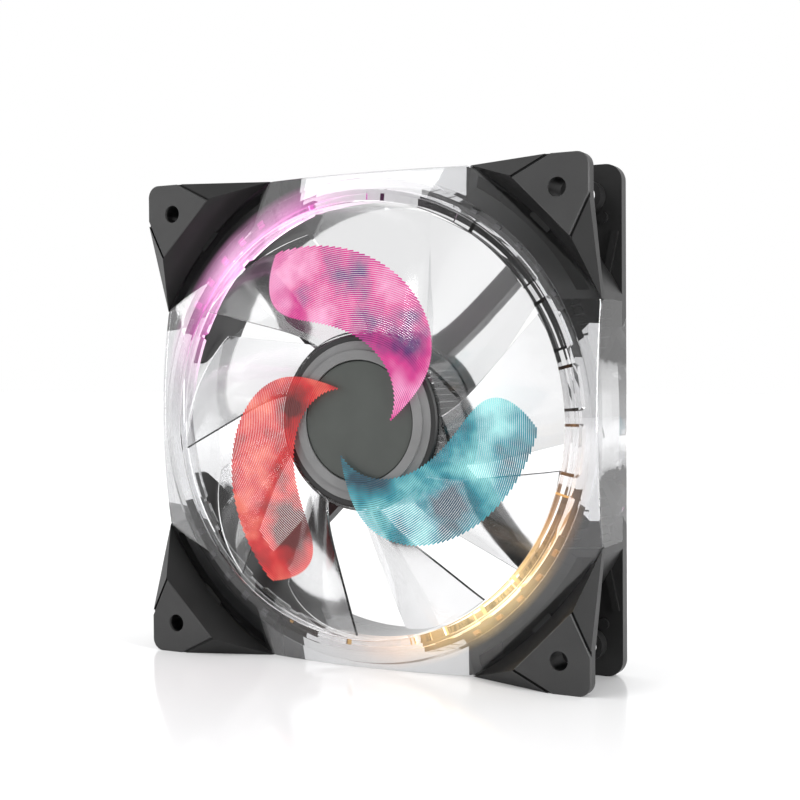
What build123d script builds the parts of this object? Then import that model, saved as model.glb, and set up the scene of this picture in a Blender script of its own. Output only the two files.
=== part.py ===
"""A 120 mm case fan with a lit clear ring, clear side windows and a nine-blade impeller.

The fan's axis is Y, the intake faces -Y, Z is up and the origin is the middle of the box.
Depths are measured backwards from the front face, all lengths are millimetres.
"""
from math import cos, radians, sin, tan
import os

from build123d import *

# Overall box and screw holes
SIZE = 120.0
HALF = SIZE / 2
DEPTH = 25.0
HOLE_SPACING = 105.0
HOLE_RADIUS = 2.2
FLANGE = 3.0
REAR_CORNER_RADIUS = 4.0
BOSS_RADIUS = 3.6
BOSS_HEIGHT = 3.5
FRONT_BOSS_HEIGHT = 5.0

# Duct and outer body
DUCT_RADIUS = 53.3
WALL_OUTER = 56.0
BODY_RADIUS = 66.9

# Clear light ring: flat rim, then a cone flaring back to the corners
RING_INNER = 52.9
RIM_OUTER = 55.5
RIM_DEPTH = 3.0
RING_OUTER = 66.0
CONE_SLOPE = 4.9 / 10.5
RING_EDGE = 0.9
CHANNEL_OUTER = 58.5
CHANNEL_FLOOR = 9.3
WINDOW_FRONT = 4.0
LAMP_SPREAD = 18.0

# Side windows: half widths through the duct wall at front and back, and outside the wall
WINDOW_NARROW = 14.7
WINDOW_WIDE = 24.3
WINDOW_BEND = 12.8
WINDOW_OUTSIDE = 28.0
WINDOW_BACK = 22.0

# Front corners: pad outline and the line where the facets end
CORNER_TOP = 0.3
PAD_THICKNESS = 0.8
PLATE_SIDE = 49.7
PLATE_BEND = (55.8, 41.2)
PAD_SIDE = 51.05
PAD_BEND = (55.35, 41.65)
TIP = (60.0, 28.0)
TIP_DEPTH = 8.0
ARC_MIDDLE = 45.8
FRONT_CORNER_RADIUS = 3.0

# Rear struts and motor base
STRUT_WIDTH = 4.8
STRUT_FRONT = 21.0
BASE_RADIUS = 21.8
BASE_FRONT = 20.3
BASE_FLOOR = 23.0

# Impeller
BLADES = 9
BLADE_TIP = 52.3
BLADE_FRONT = 4.6
BLADE_BACK = 17.8
BLADE_HALF_ANGLE = 16.25
HUB_RADIUS = 21.8
SLEEVE_BORE = 21.0
HUB_BORE = 20.45
HUB_BACK = 19.2
# Section radius, angle of its leading edge, thickness and camber
BLADE_SECTIONS = [
    (19.5, -1.5, 2.2, 1.2),
    (28.0, 9.0, 1.9, 1.5),
    (36.0, 17.0, 1.7, 1.8),
    (45.0, 22.5, 1.5, 2.0),
    (54.0, 26.5, 1.3, 2.2),
]

# Motor
SHAFT_RADIUS = 1.5
BEARING_BORE = 1.53
TUBE_INNER = 3.0
TUBE_OUTER = 4.2
STATOR_RADIUS = 16.7
STATOR_FRONT = 10.6
STATOR_BACK = 16.6
INSULATOR = 0.9
NECK_WIDTH = 4.0
BOARD_BACK = 21.5

TURNS = (0, 90, 180, 270)
CORNER_NAMES = ("top_right", "bottom_right", "bottom_left", "top_left")
SIDE_NAMES = ("right", "bottom", "left", "top")

# Radius runs along this plane's first axis and depth along its second
SECTION_PLANE = Plane(origin=(0, -DEPTH / 2, 0))


def at_depth(depth):
    """Plane that faces forward, this far behind the front face."""
    return Plane.XZ.offset(DEPTH / 2 - depth)


def ring_top(radius):
    """Depth of the light ring's cone at a radius."""
    return RIM_DEPTH + (radius - RIM_OUTER) * CONE_SLOPE


def turned(*outline, mode=Mode.ADD):
    """Revolve (radius, depth) points about the fan's axis."""
    with BuildSketch(SECTION_PLANE) as section:
        Polygon(*outline, align=None)
    revolve(section.sketch, axis=Axis.Y, mode=mode)


def tube(inner, outer, front, back, mode=Mode.ADD):
    """Round tube between two depths."""
    turned((inner, front), (outer, front), (outer, back), (inner, back), mode=mode)


def screw_holes():
    """Cut the screw hole pattern through everything."""
    with BuildSketch(at_depth(0)) as holes:
        with GridLocations(HOLE_SPACING, HOLE_SPACING, 2, 2):
            Circle(HOLE_RADIUS)
    extrude(holes.sketch, amount=-DEPTH, mode=Mode.SUBTRACT)


def corner_section(depth, side, bend, middle=None):
    """Plan of the space inside a front corner: straight sides, a bend and a line or arc across."""
    reach = side[0]
    swapped_side = side[::-1]
    swapped_bend = bend[::-1]
    with BuildSketch(at_depth(depth)) as section:
        with BuildLine():
            Polyline(swapped_bend, swapped_side, (0, reach), (0, 0), (reach, 0), side, bend)
            if middle is None:
                Line(bend, swapped_bend)
            else:
                ThreePointArc(bend, (middle, middle), swapped_bend)
        make_face()
    return section.sketch


def ring_seat():
    """Cut away everything in front of the light ring's back, and the channel for its lamps."""
    turned(
        (0, 0),
        (90, 0),
        (90, CHANNEL_FLOOR),
        (RING_OUTER + 0.1, CHANNEL_FLOOR),
        (RING_OUTER + 0.1, ring_top(RING_OUTER + 0.1) + RING_EDGE),
        (CHANNEL_OUTER, ring_top(CHANNEL_OUTER) + RING_EDGE),
        (CHANNEL_OUTER, CHANNEL_FLOOR),
        (0, CHANNEL_FLOOR),
        mode=Mode.SUBTRACT,
    )


# Clear side window on the right: flat outside, round inside
with BuildPart() as side_window:
    with BuildSketch(Plane.YZ.offset(40)):
        front = WINDOW_FRONT - DEPTH / 2
        bend = WINDOW_BEND - DEPTH / 2
        back = DEPTH / 2
        Polygon(
            (front, -WINDOW_NARROW),
            (bend, -WINDOW_NARROW),
            (back, -WINDOW_WIDE),
            (back, WINDOW_WIDE),
            (bend, WINDOW_NARROW),
            (front, WINDOW_NARROW),
            align=None,
        )
    extrude(amount=HALF - 40)
    tube(0, DUCT_RADIUS, 0, DEPTH + 1, mode=Mode.SUBTRACT)
    # Wider part outside the thin black duct wall
    with BuildPart(mode=Mode.PRIVATE) as outside:
        with BuildSketch(Plane.YZ.offset(40)):
            with Locations(((WINDOW_FRONT + WINDOW_BACK - DEPTH) / 2, 0)):
                Rectangle(WINDOW_BACK - WINDOW_FRONT, 2 * WINDOW_OUTSIDE)
        extrude(amount=HALF - 40)
        tube(0, WALL_OUTER, 0, DEPTH + 1, mode=Mode.SUBTRACT)
    add(outside.part)
    ring_seat()

# Black rear frame
with BuildPart() as rear_frame:
    # Round body filling the square at the middle of each side
    with BuildSketch(at_depth(4.8)):
        Rectangle(SIZE, SIZE)
        Circle(BODY_RADIUS, mode=Mode.INTERSECT)
    extrude(amount=-(DEPTH - 4.8))
    # Rear corner flanges
    with BuildSketch(at_depth(DEPTH - FLANGE)):
        RectangleRounded(SIZE, SIZE, REAR_CORNER_RADIUS)
    extrude(amount=-FLANGE)
    # Duct and the seat of the light ring
    tube(0, DUCT_RADIUS, 0, DEPTH + 1, mode=Mode.SUBTRACT)
    ring_seat()
    # Openings for the windows
    for turn in TURNS:
        add(side_window.part, rotation=(0, turn, 0), mode=Mode.SUBTRACT)
    # Pockets that keep the corner walls thin, closed by the ring in front
    with BuildSketch(at_depth(7)):
        Circle(64.6)
        Circle(55.5, mode=Mode.SUBTRACT)
        Rectangle(116, 116, mode=Mode.INTERSECT)
        Rectangle(2 * WINDOW_OUTSIDE + 4, SIZE, mode=Mode.SUBTRACT)
        Rectangle(SIZE, 2 * WINDOW_OUTSIDE + 4, mode=Mode.SUBTRACT)
    extrude(amount=-14, mode=Mode.SUBTRACT)
    # Screw bosses on the inner face of each rear flange
    with BuildSketch(at_depth(DEPTH - FLANGE)):
        with GridLocations(HOLE_SPACING, HOLE_SPACING, 2, 2):
            Circle(BOSS_RADIUS)
    extrude(amount=BOSS_HEIGHT)
    # Low round bump and slanted rib beside each boss, on both of its sides
    with BuildSketch(at_depth(DEPTH - FLANGE)) as flange_marks:
        with PolarLocations(0, 4):
            with Locations((55.4, 47.6)):
                Circle(1.3)
            with Locations((57.4, 39)):
                Rectangle(1.6, 11, rotation=-12)
        mirror(about=Plane.XZ)
    extrude(amount=0.8)
    # Struts and motor base
    with BuildSketch(at_depth(STRUT_FRONT)):
        with PolarLocations(0, 4, start_angle=50):
            with Locations((38, -1.1)):
                Rectangle(37, STRUT_WIDTH, rotation=-5.8)
    extrude(amount=-(DEPTH - STRUT_FRONT))
    tube(0, BASE_RADIUS, BASE_FRONT, DEPTH)
    tube(0, 19.4, 0, BASE_FLOOR, mode=Mode.SUBTRACT)
    # Boss that holds the bearing tube
    tube(0, 6.0, 19.0, BASE_FLOOR)
    tube(0, TUBE_OUTER, 0, 23.6, mode=Mode.SUBTRACT)
    # Ledge under the driver board
    tube(18.0, 19.6, BOARD_BACK, BASE_FLOOR)
    # Seat for the plain disc at the back, and the notch where a lead would leave
    tube(0, 17.1, DEPTH - 0.7, DEPTH + 1, mode=Mode.SUBTRACT)
    with BuildSketch(at_depth(BASE_FRONT - 1)):
        with PolarLocations(20, 1, start_angle=-40):
            Rectangle(6, 5)
    extrude(amount=-2.4, mode=Mode.SUBTRACT)
    screw_holes()

# Faceted front corner piece, top right
with BuildPart() as front_corner:
    with BuildSketch(at_depth(CORNER_TOP)):
        with Locations((HALF, HALF)):
            Rectangle(36, 36, align=(Align.MAX, Align.MAX))
        outer_corner = vertices().sort_by_distance((HALF, HALF))[0]
        fillet(outer_corner, FRONT_CORNER_RADIUS)
    extrude(amount=-(CHANNEL_FLOOR - CORNER_TOP))
    # Space in front of the facets
    facet_top = corner_section(CORNER_TOP, (61.0, 51.72), PLATE_BEND)
    facet_end = corner_section(TIP_DEPTH, (61.0, 30.02), TIP, ARC_MIDDLE)
    loft([facet_top, facet_end], ruled=True, mode=Mode.SUBTRACT)
    extrude(facet_end, amount=-2, mode=Mode.SUBTRACT)
    # Seat of the pad, with a narrow groove left open along two of its edges
    with BuildSketch(at_depth(CORNER_TOP)):
        Polygon(
            (PLATE_SIDE, HALF + 1),
            (HALF + 1, HALF + 1),
            (HALF + 1, PLATE_SIDE),
            (HALF, PLATE_SIDE),
            PLATE_BEND,
            PLATE_BEND[::-1],
            (PLATE_SIDE, HALF),
            align=None,
        )
    extrude(amount=-(PAD_THICKNESS - CORNER_TOP), mode=Mode.SUBTRACT)
    # Latch tongue resting on the ring
    with BuildSketch(at_depth(6.9)):
        with PolarLocations(64.9, 1, start_angle=45):
            Rectangle(1.6, 6.0)
    extrude(amount=-2)
    turned(
        (50, 0),
        (RIM_OUTER, RIM_DEPTH - 0.05),
        (RING_OUTER + 0.1, ring_top(RING_OUTER) - 0.02),
        (RING_OUTER + 0.1, 12),
        (50, 12),
        mode=Mode.SUBTRACT,
    )
    # Open space behind the flange
    with BuildPart(mode=Mode.PRIVATE) as behind:
        with BuildSketch(at_depth(FLANGE)):
            Rectangle(140, 140)
            Rectangle(50, 140, mode=Mode.SUBTRACT)
            Rectangle(140, 50, mode=Mode.SUBTRACT)
        extrude(amount=-8)
        wall_top = corner_section(FLANGE, (61.0, 53.02), (56.23, 43.37))
        wall_end = corner_section(CHANNEL_FLOOR, (61.0, 31.6), (60.0, 29.6), 47.3)
        loft([wall_top, wall_end], ruled=True, mode=Mode.SUBTRACT)
        extrude(wall_end, amount=-5, mode=Mode.SUBTRACT)
    add(behind.part, mode=Mode.SUBTRACT)
    # Screw boss behind the flange
    with BuildSketch(at_depth(FLANGE)):
        with Locations((HOLE_SPACING / 2, HOLE_SPACING / 2)):
            Circle(BOSS_RADIUS)
    extrude(amount=-FRONT_BOSS_HEIGHT)
    screw_holes()

# Flat pad on the front corner
with BuildPart() as corner_pad:
    with BuildSketch(at_depth(0)):
        Polygon(
            (PAD_SIDE, HALF),
            (HALF, HALF),
            (HALF, PAD_SIDE),
            PAD_BEND,
            PAD_BEND[::-1],
            align=None,
        )
        outer_corner = vertices().sort_by_distance((HALF, HALF))[0]
        fillet(outer_corner, FRONT_CORNER_RADIUS)
    extrude(amount=-PAD_THICKNESS)
    chamfer(faces().sort_by(Axis.Y)[0].outer_wire().edges(), 0.2)
    screw_holes()

# Clear light ring
with BuildPart() as light_ring:
    turned(
        (RING_INNER, RIM_DEPTH),
        (RIM_OUTER, RIM_DEPTH),
        (RING_OUTER, ring_top(RING_OUTER)),
        (RING_OUTER, ring_top(RING_OUTER) + RING_EDGE),
        (CHANNEL_OUTER - 0.1, ring_top(CHANNEL_OUTER - 0.1) + RING_EDGE),
        (CHANNEL_OUTER - 0.1, 7.0),
        (54.8, 7.0),
        (54.8, CHANNEL_FLOOR),
        (RING_INNER, CHANNEL_FLOOR),
    )
    with BuildSketch(at_depth(0)):
        Rectangle(SIZE, SIZE)
    extrude(amount=-DEPTH, mode=Mode.INTERSECT)

# Curved lamp board and its lamps, behind the ring in the top right corner
with BuildPart() as lamp_board:
    with BuildSketch(at_depth(CHANNEL_FLOOR - 1)):
        with BuildLine():
            CenterArc((0, 0), 56.6, 45 - LAMP_SPREAD, 2 * LAMP_SPREAD)
        trace(line_width=3.2)
    extrude(amount=-1)

with BuildPart() as corner_lamps:
    with BuildSketch(at_depth(CHANNEL_FLOOR - 1)):
        with PolarLocations(56.6, 5, start_angle=45 - 14, angular_range=28, endpoint=True):
            Rectangle(1.0, 1.6)
    extrude(amount=0.8)

# Blade, one thin cambered section after another from the hub to the tip
with BuildPart() as blade:
    half_depth = (BLADE_BACK - BLADE_FRONT) / 2
    for radius, leading_angle, thickness, camber in BLADE_SECTIONS:
        angle = radians(leading_angle + 3.5 - BLADE_HALF_ANGLE)
        outward = Vector(cos(angle), 0, sin(angle))
        origin = outward * radius + Vector(0, BLADE_FRONT + half_depth - DEPTH / 2, 0)
        plane = Plane(origin, x_dir=(-sin(angle), 0, cos(angle)), z_dir=outward)
        lead = Vector(radius * tan(radians(BLADE_HALF_ANGLE)), half_depth, 0)
        normal = Vector(-lead.Y, lead.X, 0).normalized()
        with BuildSketch(plane):
            with BuildLine():
                edge = normal * 0.35
                bow_front = normal * (camber + thickness / 2)
                bow_back = normal * (camber - thickness / 2)
                ThreePointArc(edge - lead, bow_front, edge + lead)
                Line(edge + lead, lead - edge)
                ThreePointArc(lead - edge, bow_back, -lead - edge)
                Line(-lead - edge, edge - lead)
            make_face()
    loft()
    with BuildSketch(at_depth(0)):
        Circle(BLADE_TIP)
        Circle(SLEEVE_BORE + 0.4, mode=Mode.SUBTRACT)
    extrude(amount=-DEPTH, mode=Mode.INTERSECT)

# Dark hub cup that carries the motor's rotor
with BuildPart() as hub_cup:
    turned(
        (0, 5.4),
        (19.5, 5.4),
        (19.5, 3.6),
        (20.6, 3.6),
        (SLEEVE_BORE, 3.95),
        (SLEEVE_BORE, HUB_BACK),
        (HUB_BORE, HUB_BACK),
        (HUB_BORE, 6.6),
        (0, 6.6),
    )

# Clear impeller: a sleeve on the hub cup with the blades on it
with BuildPart() as impeller:
    tube(SLEEVE_BORE, HUB_RADIUS, 4.4, HUB_BACK)
    for number in range(BLADES):
        add(blade.part, rotation=(0, number * 360 / BLADES, 0))

# Stepped ring and disc on the front of the hub
with BuildPart() as hub_cap:
    turned((14.9, 3.0), (17.2, 3.0), (17.2, 3.5), (19.4, 3.5), (19.4, 5.4), (14.9, 5.4))

with BuildPart() as hub_disc:
    tube(0, 14.8, 3.4, 5.4)
    chamfer(edges().filter_by(GeomType.CIRCLE).sort_by(Axis.Y)[0], 0.3)

# Rotor of the motor
with BuildPart() as rotor_yoke:
    turned((3.5, 6.6), (20.4, 6.6), (20.4, 18.5), (19.4, 18.5), (19.4, 7.6), (3.5, 7.6))

with BuildPart() as magnet_ring:
    tube(17.2, 19.4, 8.6, 18.4)

with BuildPart() as shaft_bush:
    tube(SHAFT_RADIUS, 3.5, 6.6, 9.6)
    tube(3.5, 4.6, 7.6, 8.4)

with BuildPart() as shaft:
    tube(0, SHAFT_RADIUS, 6.6, 22.6)
    chamfer(edges().sort_by(Axis.Y)[-1], 0.3)

with BuildPart() as retaining_clip:
    tube(SHAFT_RADIUS, 2.6, 20.4, 20.8)

# Bearing
with BuildPart() as bearing_tube:
    tube(TUBE_INNER, TUBE_OUTER, 9.9, 23.6)

with BuildPart() as sleeve_bearing:
    tube(BEARING_BORE, TUBE_INNER, 10.2, 19.8)

with BuildPart() as thrust_pad:
    tube(0, 2.9, 22.95, 23.6)

# Stator: four poles with wide ends, insulating plates and a coil round each neck
with BuildPart() as stator_core:
    with BuildSketch(at_depth(STATOR_FRONT)):
        Circle(STATOR_RADIUS)
        Circle(STATOR_RADIUS - 2.6, mode=Mode.SUBTRACT)
        with PolarLocations(STATOR_RADIUS, 4, start_angle=45):
            Rectangle(10, 2.4, mode=Mode.SUBTRACT)
        Circle(7.2)
        with PolarLocations(11, 4):
            Rectangle(9, NECK_WIDTH)
        Circle(TUBE_OUTER, mode=Mode.SUBTRACT)
    extrude(amount=STATOR_FRONT - STATOR_BACK)

with BuildPart() as insulator_front:
    with BuildSketch(at_depth(STATOR_FRONT - INSULATOR)) as insulator_outline:
        Circle(7.4)
        with PolarLocations(10.5, 4):
            Rectangle(9, NECK_WIDTH + 0.8)
        with PolarLocations(14.8, 4):
            Rectangle(1.0, 9)
        Circle(TUBE_OUTER, mode=Mode.SUBTRACT)
    extrude(amount=-INSULATOR)

with BuildPart() as insulator_rear:
    mirror(insulator_front.part, about=at_depth((STATOR_FRONT + STATOR_BACK) / 2))

with BuildPart() as windings:
    with BuildSketch(at_depth(STATOR_FRONT - INSULATOR - 1)):
        with PolarLocations(10.5, 4):
            Rectangle(5.2, NECK_WIDTH + 5)
    extrude(amount=-(STATOR_BACK - STATOR_FRONT + 2 * INSULATOR + 2))
    fillet(edges().filter_by(Axis.Y), 0.8)
    with BuildSketch(at_depth(STATOR_FRONT - INSULATOR)):
        with PolarLocations(10.8, 4):
            Rectangle(8, NECK_WIDTH + 0.8)
    extrude(amount=-(STATOR_BACK - STATOR_FRONT + 2 * INSULATOR), mode=Mode.SUBTRACT)

# Driver board behind the windings
with BuildPart() as driver_board:
    tube(6.2, 19.3, BASE_FRONT, BOARD_BACK)

with BuildPart() as hall_sensor:
    with BuildSketch(at_depth(BASE_FRONT)):
        with PolarLocations(17.6, 1, start_angle=45):
            Rectangle(2.6, 3.6)
    extrude(amount=0.9)

with BuildPart() as driver_parts:
    with BuildSketch(at_depth(BOARD_BACK)):
        with PolarLocations(12.5, 3, start_angle=20):
            Rectangle(4.0, 5.0)
        with PolarLocations(14.5, 9, start_angle=5):
            Rectangle(0.8, 1.6)
    extrude(amount=-1.1)

# Plain disc closing the back of the motor base
with BuildPart() as rear_cap:
    tube(0, 17.0, DEPTH - 0.7, DEPTH - 0.1)

pieces = {
    "rear_frame": rear_frame,
    "light_ring": light_ring,
    "hub_cup": hub_cup,
    "impeller": impeller,
    "hub_cap": hub_cap,
    "hub_disc": hub_disc,
    "rotor_yoke": rotor_yoke,
    "magnet_ring": magnet_ring,
    "shaft_bush": shaft_bush,
    "shaft": shaft,
    "retaining_clip": retaining_clip,
    "bearing_tube": bearing_tube,
    "sleeve_bearing": sleeve_bearing,
    "thrust_pad": thrust_pad,
    "stator_core": stator_core,
    "insulator_front": insulator_front,
    "insulator_rear": insulator_rear,
    "windings": windings,
    "driver_board": driver_board,
    "hall_sensor": hall_sensor,
    "driver_parts": driver_parts,
    "rear_cap": rear_cap,
}

# The corners, lamps and windows repeat a quarter turn apart
for turn, corner, side in zip(TURNS, CORNER_NAMES, SIDE_NAMES):
    for kind, source, place in (
        ("front_corner", front_corner, corner),
        ("corner_pad", corner_pad, corner),
        ("lamp_board", lamp_board, corner),
        ("lamps", corner_lamps, corner),
        ("side_window", side_window, side),
    ):
        with BuildPart() as copy:
            add(source.part, rotation=(0, turn, 0))
        pieces[f"{kind}_{place}"] = copy

os.makedirs("parts", exist_ok=True)
for label, piece in pieces.items():
    piece.part.label = label
    export_step(piece.part, f"parts/{label}.step")
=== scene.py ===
"""Looks of the 120 mm case fan: materials, light ring, light picture, camera, floor and lights."""
import math
import random

import bmesh
import bpy
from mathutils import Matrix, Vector


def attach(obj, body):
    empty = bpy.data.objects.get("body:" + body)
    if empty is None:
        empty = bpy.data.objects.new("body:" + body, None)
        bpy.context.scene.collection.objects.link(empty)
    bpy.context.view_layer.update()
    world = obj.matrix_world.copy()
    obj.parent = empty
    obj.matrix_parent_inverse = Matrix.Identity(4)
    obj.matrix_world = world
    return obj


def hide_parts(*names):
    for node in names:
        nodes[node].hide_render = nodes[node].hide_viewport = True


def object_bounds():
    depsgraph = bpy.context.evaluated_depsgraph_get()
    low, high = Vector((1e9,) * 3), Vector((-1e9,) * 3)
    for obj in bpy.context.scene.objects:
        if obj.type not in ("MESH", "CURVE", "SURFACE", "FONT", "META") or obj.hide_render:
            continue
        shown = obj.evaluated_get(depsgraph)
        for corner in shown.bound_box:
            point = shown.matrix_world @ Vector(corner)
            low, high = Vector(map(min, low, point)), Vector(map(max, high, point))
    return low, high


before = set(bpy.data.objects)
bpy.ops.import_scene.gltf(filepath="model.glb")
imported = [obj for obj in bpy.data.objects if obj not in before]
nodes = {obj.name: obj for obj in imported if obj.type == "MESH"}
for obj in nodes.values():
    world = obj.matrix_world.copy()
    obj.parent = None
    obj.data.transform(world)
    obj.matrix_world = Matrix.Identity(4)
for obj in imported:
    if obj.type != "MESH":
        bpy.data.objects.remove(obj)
cad_low, cad_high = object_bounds()

FRONT = cad_low[1]

# Camera, fitted to the shape of the fan's box. Turn in degrees, lens in millimetres
CAMERA_PLACE = (0.1635, -0.2970, 0.0131)
CAMERA_TURN = (88.612, 0.396, 27.847)
CAMERA_LENS = 61.8

# Relief of the plastics and metals
SPARK_HEIGHT = 0.00002
FLOW_HEIGHT = 0.00002
TURNING_HEIGHT = 0.00001
TURNING_STRETCH = (1, 40, 1)
WIRE_PITCH = 0.0004
WIRE_HEIGHT = 0.00012
SHEET_PITCH = 0.0005
SHEET_HEIGHT = 0.00004

# Clear plastic
CLEAR_IOR = 1.56
# Painted shade at the edges of clear plastic: its tint is scaled by this where it is seen edge on
EDGE_DARKENING = 0.12
SHADOW_TINT = 0.9

# Glow fed into the ring, by direction from the axis and by radius
GLOW_ANGLE = math.radians(128)
GLOW_FOCUS = 6.0
GLOW_ENDS = 0.0605
GLOW_IS_FULL = 0.0535
GLOW_COLOURS = [
    (0.0, (1.0, 0.70, 0.30, 1)),
    (0.06, (0.75, 0.33, 0.06, 1)),
    (0.15, (0.25, 0.08, 0.01, 1)),
    (0.5, (0.0, 0.0, 0.0, 1)),
    (0.85, (0.20, 0.01, 0.16, 1)),
    (0.94, (0.75, 0.06, 0.52, 1)),
    (1.0, (1.0, 0.45, 0.82, 1)),
]

# Light ring: a flat rim, then a cone out to the fan's sides, with an inner wall behind the rim
RING_SIDES = 480
RING_REACH = 0.066
RING_BORE = 0.0529
RIM_RADIUS = 0.0555
CONE_START = 0.0030
CONE_SLOPE = 4.9 / 10.5
LIP = 0.0009
EDGE_ROUND = 0.0003
CREASE_DROP = 0.00008
INNER_WALL_OUTER = 0.0548
INNER_WALL_BACK = 0.0093
STEP_RADIUS = 0.0584
STEP_BACK = 0.0070
SHARP_ANGLE = math.radians(18)

# Notches in the back of the ring's inner wall. Widths and gaps are numbers of ring sides
NOTCH_DEPTH = 0.0012
NOTCH_SEED = 5
NOTCH_WIDTHS = (1, 7)
NOTCH_GAPS = (6, 34)
NOTCH_FREE_END = 12

# Soft edges of the black parts
BEVEL_WIDTH = 0.00022
BEVEL_ANGLE = math.radians(35)

# Light picture: a plain three-armed spiral of thin lit arcs round the axis
ARC_PITCH = 0.00050
ARC_WIDTH = 0.00039
ARC_DEPTH = 0.00006
ARC_STEP = 0.0007
SPIRAL_INNER = 0.009
SPIRAL_OUTER = 0.047
SPIRAL_TWIST = 1.25
SPIRAL_SPREAD = math.radians(38)
PICTURE_PLANE = FRONT + 0.0022
ARM_COLOURS = {
    "magenta": [(0.36, (0.10, 0.0, 0.16, 1)), (0.5, (0.75, 0.01, 0.28, 1)), (0.66, (1.0, 0.35, 0.65, 1))],
    "red": [(0.36, (0.12, 0.0, 0.0, 1)), (0.5, (0.70, 0.005, 0.01, 1)), (0.66, (1.0, 0.22, 0.14, 1))],
    "teal": [(0.36, (0.0, 0.05, 0.09, 1)), (0.5, (0.02, 0.30, 0.38, 1)), (0.66, (0.35, 0.85, 0.85, 1))],
}

# Floor: glossy under the fan, matt and faintly lit further out
FLOOR_SIZE = 6
GLOSSY_RADIUS = 0.12
MATT_RADIUS = 0.4
FLOOR_GLOSS = 0.12
FLOOR_LIGHT = 0.22

# Studio: white all round, with a grey screen facing the intake
SCREEN_DIRECTION = (0.3, -0.95, 0.0)
SCREEN_EDGE = 0.45
SCREEN_MIDDLE = 0.8
SCREEN_LEVEL = 0.3

# Area lights aimed at the fan: place, size and watts
LIGHTS = {
    "left": ((-1.15, -0.35, 0.25), (0.5, 0.9), 6),
    "top": ((-0.5, -0.55, 0.85), (0.6, 0.4), 3),
    "side": ((0.9, -0.25, 0.2), (0.25, 0.6), 9),
}


# Shader helpers
def new_material(name):
    material = bpy.data.materials.new(name)
    material.use_nodes = True
    return material, material.node_tree, shader_of(material)


def shader_of(material):
    return material.node_tree.nodes["Principled BSDF"]


def set_values(shader, **values):
    for name, value in values.items():
        shader.inputs[name.replace("_", " ")].default_value = value


def grey(value):
    return (value, value, value, 1)


def object_place(tree):
    return tree.nodes.new("ShaderNodeTexCoord").outputs["Object"]


def noise(tree, scale, detail, stretch=None):
    """Noise in object space, so its grain has a real size. Scale is in repeats per metre."""
    source = object_place(tree)
    texture = tree.nodes.new("ShaderNodeTexNoise")
    texture.inputs["Scale"].default_value = scale
    texture.inputs["Detail"].default_value = detail
    if stretch:
        mapping = tree.nodes.new("ShaderNodeMapping")
        mapping.inputs["Scale"].default_value = stretch
        tree.links.new(source, mapping.inputs["Vector"])
        source = mapping.outputs["Vector"]
    tree.links.new(source, texture.inputs["Vector"])
    return texture.outputs["Fac"]


def ramp(tree, factor, stops):
    node = tree.nodes.new("ShaderNodeValToRGB")
    node.color_ramp.elements[0].position = stops[0][0]
    node.color_ramp.elements[0].color = stops[0][1]
    node.color_ramp.elements[1].position = stops[-1][0]
    node.color_ramp.elements[1].color = stops[-1][1]
    for position, colour in stops[1:-1]:
        node.color_ramp.elements.new(position).color = colour
    tree.links.new(factor, node.inputs["Fac"])
    return node.outputs["Color"]


def bump(tree, shader, height, distance):
    node = tree.nodes.new("ShaderNodeBump")
    node.inputs["Strength"].default_value = 1.0
    node.inputs["Distance"].default_value = distance
    tree.links.new(height, node.inputs["Height"])
    tree.links.new(node.outputs["Normal"], shader.inputs["Normal"])


def rescale(tree, value, from_low, from_high, to_low, to_high):
    """Maps one range to another, and holds the ends beyond it."""
    node = tree.nodes.new("ShaderNodeMapRange")
    node.inputs["From Min"].default_value = from_low
    node.inputs["From Max"].default_value = from_high
    node.inputs["To Min"].default_value = to_low
    node.inputs["To Max"].default_value = to_high
    tree.links.new(value, node.inputs["Value"])
    return node.outputs["Result"]


def spread(tree, factor, low, high):
    """Maps 0..1 to low..high."""
    return rescale(tree, factor, 0.0, 1.0, low, high)


def maths(tree, operation, *values):
    """Maths node on numbers and other nodes' outputs."""
    node = tree.nodes.new("ShaderNodeMath")
    node.operation = operation
    for socket, value in zip(node.inputs, values):
        if isinstance(value, (int, float)):
            socket.default_value = value
        else:
            tree.links.new(value, socket)
    return node.outputs[0]


# Materials
def moulded(name, dark, light, rough_low, rough_high):
    """Textured moulded plastic: cloudy colour, fine spark grain and uneven gloss."""
    material, tree, shader = new_material(name)
    cloud = noise(tree, scale=90, detail=4)
    tree.links.new(ramp(tree, cloud, [(0.3, dark), (0.7, light)]), shader.inputs["Base Color"])
    gloss = noise(tree, scale=260, detail=5)
    tree.links.new(spread(tree, gloss, rough_low, rough_high), shader.inputs["Roughness"])
    bump(tree, shader, noise(tree, scale=5200, detail=2), SPARK_HEIGHT)
    return material


def clear(name, tint, roughness):
    """Clear polycarbonate: glass with slight flow waves, and painted shade that darkens it where it is
    seen edge on.
    """
    material, tree, shader = new_material(name)
    set_values(shader, IOR=CLEAR_IOR, Transmission_Weight=1.0)
    edge_on = tree.nodes.new("ShaderNodeLayerWeight")
    edge_on.inputs["Blend"].default_value = 0.35
    # Painted shade: the tint darkens towards edge on, standing in for the dark lines that refraction
    # draws at the edges of clear plastic
    painted_edge_shade = tuple(channel * EDGE_DARKENING for channel in tint[:3]) + (1,)
    colour = ramp(tree, edge_on.outputs["Facing"], [(0.0, tint), (0.55, tint), (1.0, painted_edge_shade)])
    tree.links.new(colour, shader.inputs["Base Color"])
    haze = spread(tree, noise(tree, scale=60, detail=3), roughness * 0.7, roughness * 1.3)
    tree.links.new(haze, shader.inputs["Roughness"])
    bump(tree, shader, noise(tree, scale=120, detail=2), FLOW_HEIGHT)
    let_lamps_through(tree, shader)
    return material


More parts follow.
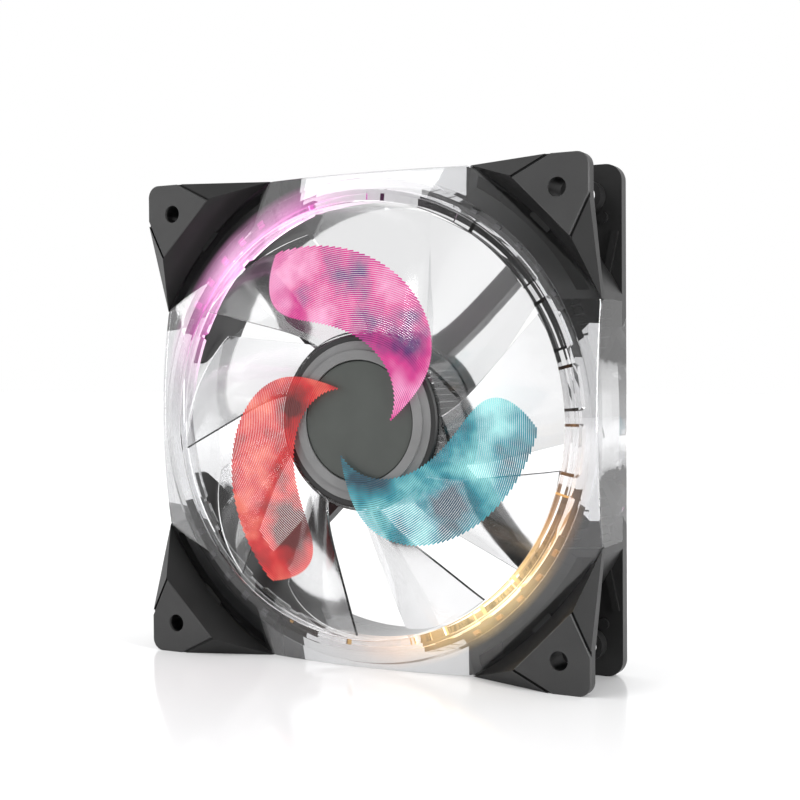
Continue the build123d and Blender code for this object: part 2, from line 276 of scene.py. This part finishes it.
def let_lamps_through(tree, shader):
    """Lamp light passes straight through, as it does through thin clear plastic."""
    rays = tree.nodes.new("ShaderNodeLightPath")
    through = tree.nodes.new("ShaderNodeBsdfTransparent")
    through.inputs["Color"].default_value = grey(SHADOW_TINT)
    mix = tree.nodes.new("ShaderNodeMixShader")
    tree.links.new(rays.outputs["Is Shadow Ray"], mix.inputs["Fac"])
    tree.links.new(shader.outputs["BSDF"], mix.inputs[1])
    tree.links.new(through.outputs["BSDF"], mix.inputs[2])
    tree.links.new(mix.outputs["Shader"], tree.nodes["Material Output"].inputs["Surface"])


def metal(name, dark, light, roughness):
    """Bare metal with fine turning lines."""
    material, tree, shader = new_material(name)
    set_values(shader, Metallic=1.0)
    lines = noise(tree, scale=900, detail=4, stretch=TURNING_STRETCH)
    tree.links.new(ramp(tree, lines, [(0.3, dark), (0.7, light)]), shader.inputs["Base Color"])
    tree.links.new(spread(tree, lines, roughness - 0.08, roughness + 0.1), shader.inputs["Roughness"])
    bump(tree, shader, lines, TURNING_HEIGHT)
    return material


def ridged(material, kind, pitch, height):
    """Swaps a metal's turning lines for even ridges: rings round the axis, or bands along it."""
    tree = material.node_tree
    place = object_place(tree)
    ridges = tree.nodes.new("ShaderNodeTexWave")
    ridges.wave_type = kind
    ridges.rings_direction = "Y"
    ridges.bands_direction = "Y"
    # Blender's wave repeats every pi / 10 at scale 1
    ridges.inputs["Scale"].default_value = math.pi / 10 / pitch
    tree.links.new(place, ridges.inputs["Vector"])
    bump(tree, shader_of(material), ridges.outputs["Fac"], height)


def lamp(name, colour, strength):
    """Lamp package: a faintly lit face with slightly uneven colour."""
    material, tree, shader = new_material(name)
    pale = tuple(0.85 * channel + 0.15 * max(colour[:3]) for channel in colour[:3]) + (1,)
    uneven = ramp(tree, noise(tree, scale=1500, detail=2), [(0.35, colour), (0.65, pale)])
    tree.links.new(uneven, shader.inputs["Base Color"])
    tree.links.new(uneven, shader.inputs["Emission Color"])
    set_values(shader, Roughness=0.4, Emission_Strength=strength)
    return material


def lit_colours(name, stops):
    """Lit picture colour flowing in soft bands."""
    material, tree, shader = new_material(name)
    bands = noise(tree, scale=75, detail=3)
    tree.links.new(ramp(tree, bands, stops), shader.inputs["Emission Color"])
    set_values(shader, Base_Color=grey(0.02), Roughness=0.6, Emission_Strength=1.0)
    return material


def add_ring_glow(material):
    """Light fed into the ring by its corner lamps: pink at the upper left, gold at the lower right."""
    tree = material.node_tree
    shader = shader_of(material)
    split = tree.nodes.new("ShaderNodeSeparateXYZ")
    tree.links.new(object_place(tree), split.inputs["Vector"])
    x, _, z = split.outputs
    squares = maths(tree, "ADD", maths(tree, "MULTIPLY", x, x), maths(tree, "MULTIPLY", z, z))
    radius = maths(tree, "SQRT", squares)
    # +1 at the pink lamps, -1 opposite them at the gold ones
    across = maths(tree, "MULTIPLY", x, math.cos(GLOW_ANGLE))
    upward = maths(tree, "MULTIPLY", z, math.sin(GLOW_ANGLE))
    side = maths(tree, "DIVIDE", maths(tree, "ADD", across, upward), radius)
    hue = ramp(tree, maths(tree, "MULTIPLY_ADD", side, 0.5, 0.5), GLOW_COLOURS)
    tree.links.new(hue, shader.inputs["Emission Color"])
    along = maths(tree, "POWER", maths(tree, "ABSOLUTE", side), GLOW_FOCUS)
    near_rim = rescale(tree, radius, GLOW_ENDS, GLOW_IS_FULL, 0.0, 1.0)
    uneven = spread(tree, noise(tree, scale=110, detail=2), 0.1, 0.9)
    strength = maths(tree, "MULTIPLY", maths(tree, "MULTIPLY", along, near_rim), uneven)
    tree.links.new(strength, shader.inputs["Emission Strength"])


def dress(name, material):
    """Gives a CAD node its material."""
    mesh = nodes[name].data
    mesh.materials.clear()
    mesh.materials.append(material)


def dress_matching(start, material):
    for name in nodes:
        if name.startswith(start):
            dress(name, material)


def dress_nodes(ring_material):
    """Gives every CAD node its material."""
    black = moulded("frame_black", grey(0.007), grey(0.011), 0.38, 0.5)
    corner_black = moulded("corner_black", grey(0.004), grey(0.007), 0.32, 0.45)
    set_values(shader_of(corner_black), Specular_IOR_Level=0.3)
    pad_grey = moulded("pad_grey", grey(0.022), grey(0.030), 0.5, 0.62)
    clear_window = clear("clear_window", (0.74, 0.742, 0.75, 1), 0.02)
    clear_blade = clear("clear_blade", (0.86, 0.862, 0.868, 1), 0.1)
    hub_grey = moulded("hub_grey", grey(0.145), grey(0.185), 0.28, 0.4)
    hub_dark = moulded("hub_dark", (0.044, 0.049, 0.044, 1), (0.054, 0.060, 0.054, 1), 0.4, 0.5)
    board = moulded("board", (0.01, 0.045, 0.03, 1), (0.015, 0.06, 0.04, 1), 0.3, 0.4)
    lamp_board = moulded("lamp_board", grey(0.012), grey(0.02), 0.35, 0.45)
    nylon = moulded("nylon", (0.6, 0.58, 0.5, 1), (0.7, 0.68, 0.6, 1), 0.4, 0.5)
    chip = moulded("chip", grey(0.02), grey(0.03), 0.4, 0.55)
    film = moulded("film", grey(0.09), grey(0.12), 0.3, 0.4)
    ferrite = moulded("ferrite", grey(0.05), grey(0.07), 0.5, 0.6)
    steel = metal("steel", grey(0.4), grey(0.6), 0.3)
    brass = metal("brass", (0.6, 0.42, 0.16, 1), (0.8, 0.6, 0.28, 1), 0.28)
    copper = metal("copper", (0.55, 0.2, 0.08, 1), (0.8, 0.36, 0.18, 1), 0.35)
    ridged(copper, "RINGS", WIRE_PITCH, WIRE_HEIGHT)
    laminated = metal("laminated", grey(0.3), grey(0.45), 0.35)
    ridged(laminated, "BANDS", SHEET_PITCH, SHEET_HEIGHT)

    dress("light_ring", ring_material)
    dress("rear_frame", black)
    dress("hub_cup", black)
    dress("hub_cap", hub_grey)
    dress("hub_disc", hub_dark)
    dress("impeller", clear_blade)
    dress_matching("front_corner", corner_black)
    dress_matching("corner_pad", pad_grey)
    dress_matching("side_window", clear_window)
    dress_matching("lamp_board", lamp_board)
    dress("lamps_top_left", lamp("lamp_pink", (0.3, 0.03, 0.2, 1), 0.1))
    dress("lamps_bottom_right", lamp("lamp_gold", (0.3, 0.13, 0.03, 1), 0.1))
    dress("lamps_top_right", lamp("lamp_upper_right", (0.06, 0.06, 0.065, 1), 0.02))
    dress("lamps_bottom_left", lamp("lamp_lower_left", (0.06, 0.06, 0.065, 1), 0.02))
    for name in ("rotor_yoke", "shaft"):
        dress(name, steel)
    for name in ("bearing_tube", "shaft_bush", "sleeve_bearing"):
        dress(name, brass)
    for name in ("thrust_pad", "retaining_clip", "insulator_front", "insulator_rear"):
        dress(name, nylon)
    for name in ("hall_sensor", "driver_parts"):
        dress(name, chip)
    dress("stator_core", laminated)
    dress("windings", copper)
    dress("magnet_ring", ferrite)
    dress("driver_board", board)
    dress("rear_cap", film)


# Light ring, revolved finely so that its cone refracts without facets
def cone_depth(radius):
    return CONE_START + (radius - RIM_RADIUS) * CONE_SLOPE


def ring_section(reach, back):
    """(radius, depth) points round the ring's section.

    reach is its radius at this angle, and back the depth of its inner wall.
    """
    return [
        (RING_BORE, back),
        (RING_BORE, CONE_START + EDGE_ROUND),
        (RING_BORE + EDGE_ROUND / 3, CONE_START + CREASE_DROP),
        (RING_BORE + EDGE_ROUND, CONE_START),
        (RIM_RADIUS - 0.00035, CONE_START),
        (RIM_RADIUS, CONE_START + CREASE_DROP),
        (RIM_RADIUS + 0.0002, cone_depth(RIM_RADIUS + 0.0002)),
        (reach - EDGE_ROUND, cone_depth(reach - EDGE_ROUND)),
        (reach - EDGE_ROUND * 0.3, cone_depth(reach) + EDGE_ROUND * 0.2),
        (reach, cone_depth(reach) + EDGE_ROUND * 0.8),
        (reach, cone_depth(reach) + LIP),
        (STEP_RADIUS, cone_depth(STEP_RADIUS) + LIP),
        (STEP_RADIUS, STEP_BACK),
        (INNER_WALL_OUTER, STEP_BACK),
        (INNER_WALL_OUTER, back),
    ]


def notched_sides():
    """Sides of the ring that have a small notch in the back of its inner wall, unevenly spaced."""
    dice = random.Random(NOTCH_SEED)
    sides = set()
    start = 0
    while start < RING_SIDES - NOTCH_FREE_END:
        width = dice.randint(*NOTCH_WIDTHS)
        sides.update(range(start, start + width))
        start += width + dice.randint(*NOTCH_GAPS)
    return sides


def add_light_ring(material):
    mesh = bmesh.new()
    notches = notched_sides()
    loops = []
    for side in range(RING_SIDES):
        angle = side * 2 * math.pi / RING_SIDES
        cosine, sine = math.cos(angle), math.sin(angle)
        reach = min(RING_REACH, cad_high[0] / max(abs(cosine), abs(sine)))
        back = INNER_WALL_BACK - (NOTCH_DEPTH if side in notches else 0)
        loop = []
        for radius, depth in ring_section(reach, back):
            loop.append(mesh.verts.new((radius * cosine, FRONT + depth, radius * sine)))
        loops.append(loop)
    for side, loop in enumerate(loops):
        following = loops[(side + 1) % RING_SIDES]
        for index in range(len(loop)):
            after = (index + 1) % len(loop)
            face = mesh.faces.new((loop[index], following[index], following[after], loop[after]))
            face.smooth = True
    bmesh.ops.recalc_face_normals(mesh, faces=mesh.faces)
    for edge in mesh.edges:
        if edge.calc_face_angle(0) > SHARP_ANGLE:
            edge.smooth = False
    ring = as_object("clear_light_ring", mesh, material)
    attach(ring, "frame")
    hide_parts("light_ring")


def as_object(name, mesh, material):
    """Turns a bmesh into a linked object with one material."""
    data = bpy.data.meshes.new(name)
    mesh.to_mesh(data)
    mesh.free()
    data.materials.append(material)
    result = bpy.data.objects.new(name, data)
    bpy.context.collection.objects.link(result)
    return result


def soften_edges():
    """Narrow bevels that catch the light on the moulded black parts."""
    for name in nodes:
        if name == "rear_frame" or name.startswith("front_corner"):
            bevel = nodes[name].modifiers.new("soft_edges", "BEVEL")
            bevel.width = BEVEL_WIDTH
            bevel.segments = 2
            bevel.limit_method = "ANGLE"
            bevel.angle_limit = BEVEL_ANGLE


# Light picture
def add_arc(mesh, radius, start, end):
    """Flat strip of one ring between two angles."""
    steps = max(1, math.ceil((end - start) * radius / ARC_STEP))
    rows = []
    for step in range(steps + 1):
        angle = start + (end - start) * step / steps
        row = []
        for edge in (radius - ARC_WIDTH / 2, radius + ARC_WIDTH / 2):
            row.append(mesh.verts.new((edge * math.cos(angle), PICTURE_PLANE, edge * math.sin(angle))))
        rows.append(row)
    for before, after in zip(rows, rows[1:]):
        mesh.faces.new((before[0], after[0], after[1], before[1]))


def add_light_arm(name, first_angle, material):
    """One arm of the spiral: widest half way out, and narrowing to nothing at both ends."""
    mesh = bmesh.new()
    rings = int((SPIRAL_OUTER - SPIRAL_INNER) / ARC_PITCH)
    for ring in range(1, rings):
        radius = SPIRAL_INNER + ring * ARC_PITCH
        middle = first_angle + SPIRAL_TWIST * math.log(radius / SPIRAL_INNER)
        half = SPIRAL_SPREAD * math.sin(math.pi * ring / rings)
        add_arc(mesh, radius, middle - half, middle + half)
    arm = as_object(name, mesh, material)
    thickness = arm.modifiers.new("thickness", "SOLIDIFY")
    thickness.thickness = ARC_DEPTH
    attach(arm, "frame")


def add_light_picture():
    for turn, (colour_name, stops) in enumerate(ARM_COLOURS.items()):
        first_angle = turn * 2 * math.pi / len(ARM_COLOURS)
        add_light_arm(f"light_arm_{colour_name}", first_angle, lit_colours(f"lit_{colour_name}", stops))


# Camera, floor and light
def add_camera():
    data = bpy.data.cameras.new("camera")
    data.lens = CAMERA_LENS
    data.sensor_width = 36
    camera = bpy.data.objects.new("camera", data)
    camera.location = CAMERA_PLACE
    camera.rotation_euler = [math.radians(angle) for angle in CAMERA_TURN]
    bpy.context.collection.objects.link(camera)
    bpy.context.scene.camera = camera


def add_floor():
    bpy.ops.mesh.primitive_plane_add(size=FLOOR_SIZE, location=(0, 0, cad_low[2]))
    floor = bpy.context.object
    floor.name = "floor"
    material, tree, shader = new_material("floor")
    set_values(shader, Base_Color=(0.92, 0.92, 0.925, 1), Emission_Color=grey(FLOOR_LIGHT))
    distance = tree.nodes.new("ShaderNodeVectorMath")
    distance.operation = "LENGTH"
    tree.links.new(object_place(tree), distance.inputs[0])
    fade = rescale(tree, distance.outputs["Value"], GLOSSY_RADIUS, MATT_RADIUS, FLOOR_GLOSS, 1.0)
    tree.links.new(fade, shader.inputs["Roughness"])
    tree.links.new(fade, shader.inputs["Emission Strength"])
    floor.data.materials.append(material)


def add_world():
    """White all round, and a grey screen that gives gloss and clear edges their contrast."""
    world = bpy.data.worlds.new("world")
    bpy.context.scene.world = world
    world.use_nodes = True
    tree = world.node_tree
    background = tree.nodes["Background"]
    background.inputs["Color"].default_value = grey(1)
    direction = tree.nodes.new("ShaderNodeTexCoord").outputs["Generated"]
    facing = tree.nodes.new("ShaderNodeVectorMath")
    facing.operation = "DOT_PRODUCT"
    facing.inputs[1].default_value = SCREEN_DIRECTION
    tree.links.new(direction, facing.inputs[0])
    screen = rescale(tree, facing.outputs["Value"], SCREEN_EDGE, SCREEN_MIDDLE, 1.0, SCREEN_LEVEL)
    rays = tree.nodes.new("ShaderNodeLightPath")
    backdrop = maths(tree, "MAXIMUM", screen, rays.outputs["Is Camera Ray"])
    tree.links.new(backdrop, background.inputs["Strength"])


def add_area_light(name, place, size, power):
    """Rectangular light aimed at the middle of the fan."""
    data = bpy.data.lights.new(name, "AREA")
    data.shape = "RECTANGLE"
    data.size, data.size_y = size
    data.energy = power
    light = bpy.data.objects.new(name, data)
    light.location = place
    light.rotation_euler = (-Vector(place)).to_track_quat("-Z", "Y").to_euler()
    bpy.context.collection.objects.link(light)


add_camera()
clear_ring = clear("clear_ring", (0.82, 0.822, 0.828, 1), 0.02)
add_ring_glow(clear_ring)
dress_nodes(clear_ring)
add_light_ring(clear_ring)
soften_edges()
add_light_picture()

bpy.context.scene.view_settings.view_transform = "Standard"
add_floor()
add_world()
for name, (place, size, power) in LIGHTS.items():
    add_area_light(name, place, size, power)
